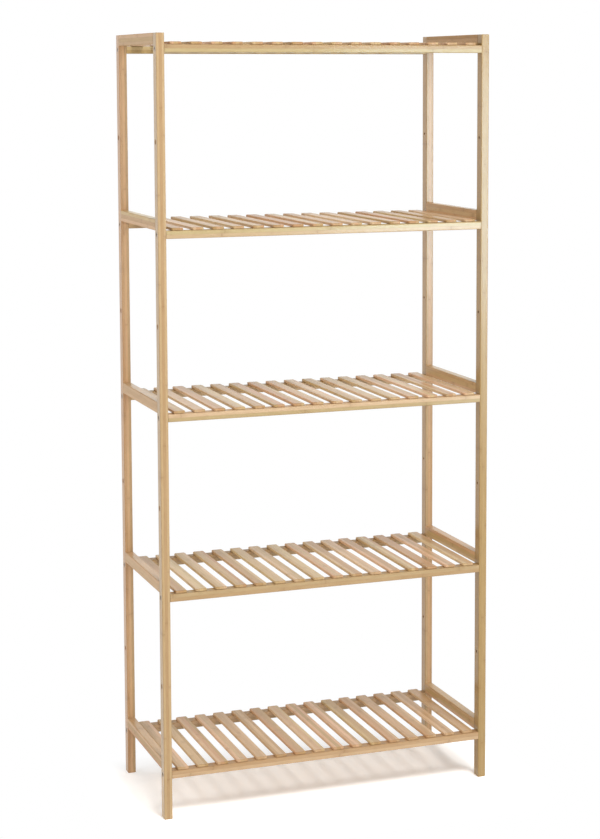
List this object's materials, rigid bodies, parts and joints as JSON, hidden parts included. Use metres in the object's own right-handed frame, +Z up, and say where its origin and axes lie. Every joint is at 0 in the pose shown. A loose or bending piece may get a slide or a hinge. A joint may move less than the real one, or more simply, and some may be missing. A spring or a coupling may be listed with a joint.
{
  "type": "bamboo shelving unit",
  "caption": "Tall free-standing open shelving unit with slatted shelves between two ladder-like side frames, for books, plants or boxes.",
  "frame": {"origin": "on the floor, under the middle of the unit", "axes": "+X to the unit's right as seen from the front, +Y to the back, +Z up"},
  "size_m": [0.63, 0.278, 1.4],
  "materials": {
    "bamboo_post": "clear satin lacquer on laminated bamboo",
    "bamboo_tie": "clear satin lacquer on laminated bamboo",
    "bamboo_rail": "clear satin lacquer on laminated bamboo",
    "bamboo_slat": "clear satin lacquer on bamboo strip",
    "zinc_screw": "zinc plated",
    "dark_screw": "black zinc plated",
    "dowel_wood": "plain turned beech"
  },
  "bodies": {
    "root": {"post_front_left": "bamboo_post", "post_front_right": "bamboo_post", "post_back_left": "bamboo_post", "post_back_right": "bamboo_post", "tie_left_1": "bamboo_tie", "tie_left_2": "bamboo_tie", "tie_left_3": "bamboo_tie", "tie_left_4": "bamboo_tie", "tie_left_5": "bamboo_tie", "tie_right_1": "bamboo_tie", "tie_right_2": "bamboo_tie", "tie_right_3": "bamboo_tie", "tie_right_4": "bamboo_tie", "tie_right_5": "bamboo_tie", "rail_front_1": "bamboo_rail", "rail_front_2": "bamboo_rail", "rail_front_3": "bamboo_rail", "rail_front_4": "bamboo_rail", "rail_front_5": "bamboo_rail", "rail_back_1": "bamboo_rail", "rail_back_2": "bamboo_rail", "rail_back_3": "bamboo_rail", "rail_back_4": "bamboo_rail", "rail_back_5": "bamboo_rail", "slats_1": "bamboo_slat", "slats_2": "bamboo_slat", "slats_3": "bamboo_slat", "slats_4": "bamboo_slat", "slats_5": "bamboo_slat", "slat_screws_1": "zinc_screw", "slat_screws_2": "zinc_screw", "slat_screws_3": "zinc_screw", "slat_screws_4": "zinc_screw", "slat_screws_5": "zinc_screw", "frame_screws": "dark_screw", "dowels": "dowel_wood"}
  },
  "joints": []
}
